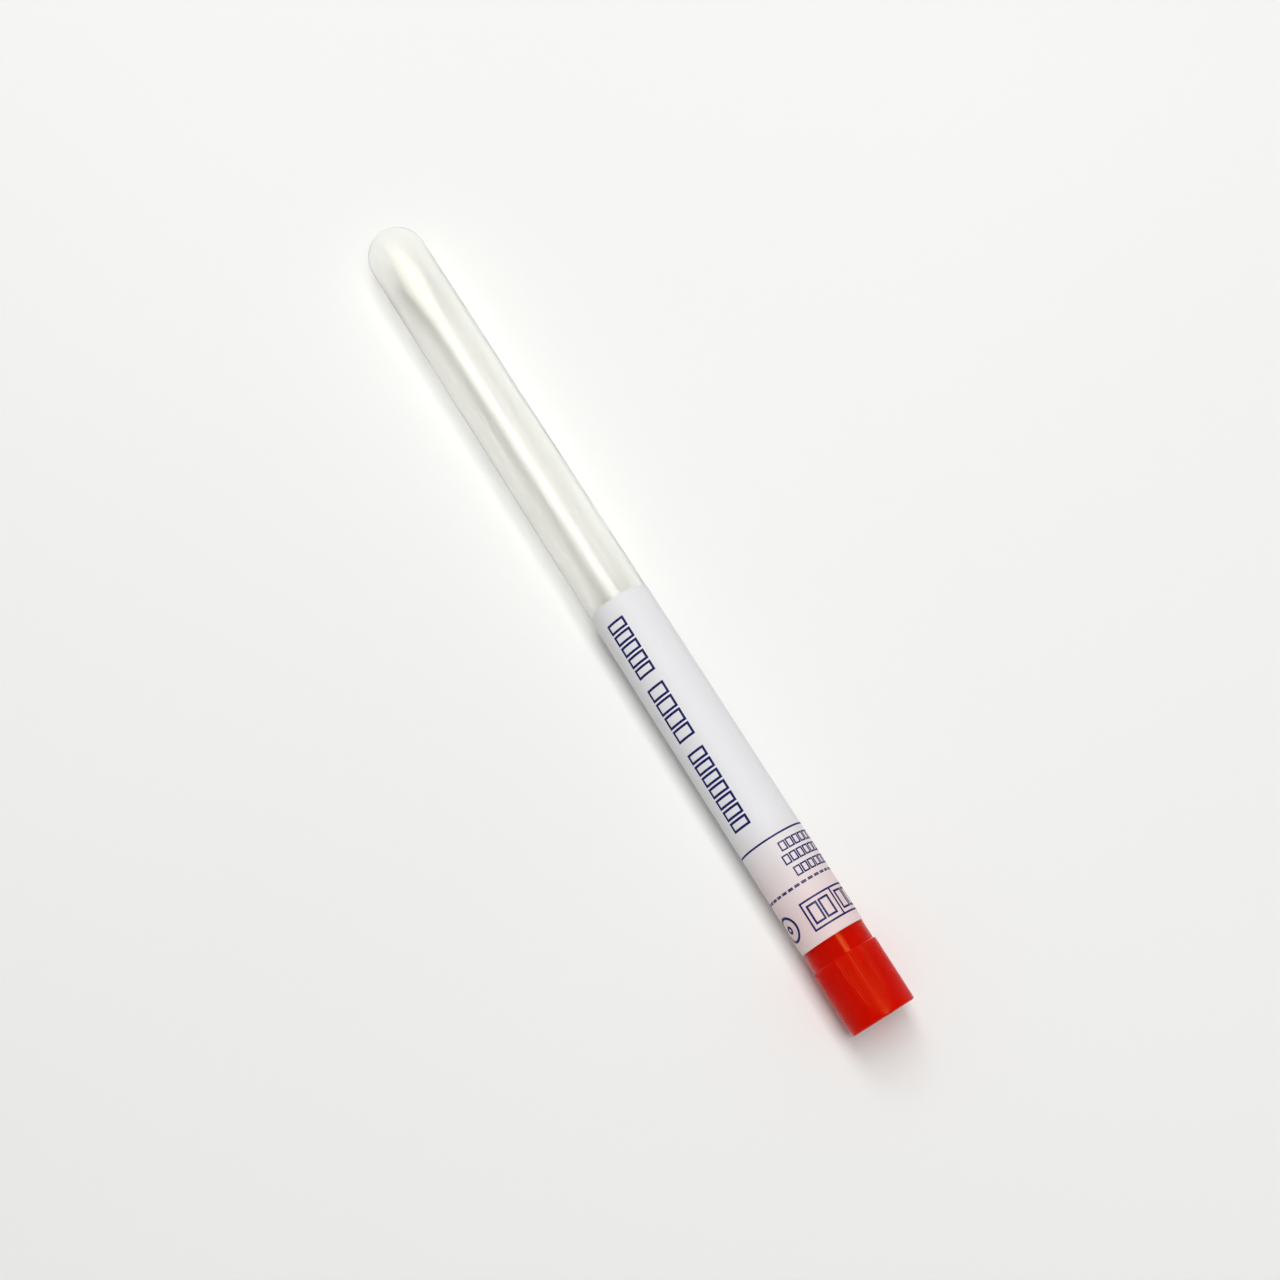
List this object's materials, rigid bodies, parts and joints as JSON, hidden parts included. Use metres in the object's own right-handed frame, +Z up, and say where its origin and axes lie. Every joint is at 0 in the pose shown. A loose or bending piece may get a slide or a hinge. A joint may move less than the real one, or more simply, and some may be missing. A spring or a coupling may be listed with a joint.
{
  "type": "specimen swab tube",
  "caption": "Round-bottomed plastic specimen tube with a wrapped label, closed by a push-in ribbed cap that carries a swab stick with a fibre bud.",
  "frame": {"origin": "on the surface that it lies on, under the middle of its outside box", "axes": "+X along the object from the tube's round end towards the cap, +Z up, +Y the far side; the tube's own axis rises 0.145 degrees towards the cap"},
  "size_m": [0.1764, 0.0126, 0.0125],
  "materials": {
    "frosted_polypropylene": "frosted, translucent",
    "label_paper": "coated, matt",
    "red_polyethylene": "moulded, satin",
    "white_polystyrene": "extruded, satin",
    "wound_fibre": "wound soft fibre"
  },
  "bodies": {
    "tube_body": {"tube": "frosted_polypropylene", "label": "label_paper"},
    "swab_cap": {"cap": "red_polyethylene", "seal_band": "label_paper", "swab_stick": "white_polystyrene", "swab_bud": "wound_fibre"}
  },
  "joints": [
    {"name": "cap_pull", "type": "slide", "parent": "tube_body", "child": "swab_cap", "axis": [1, 0, 0.0025], "range_m": [0, 0.16]}
  ]
}
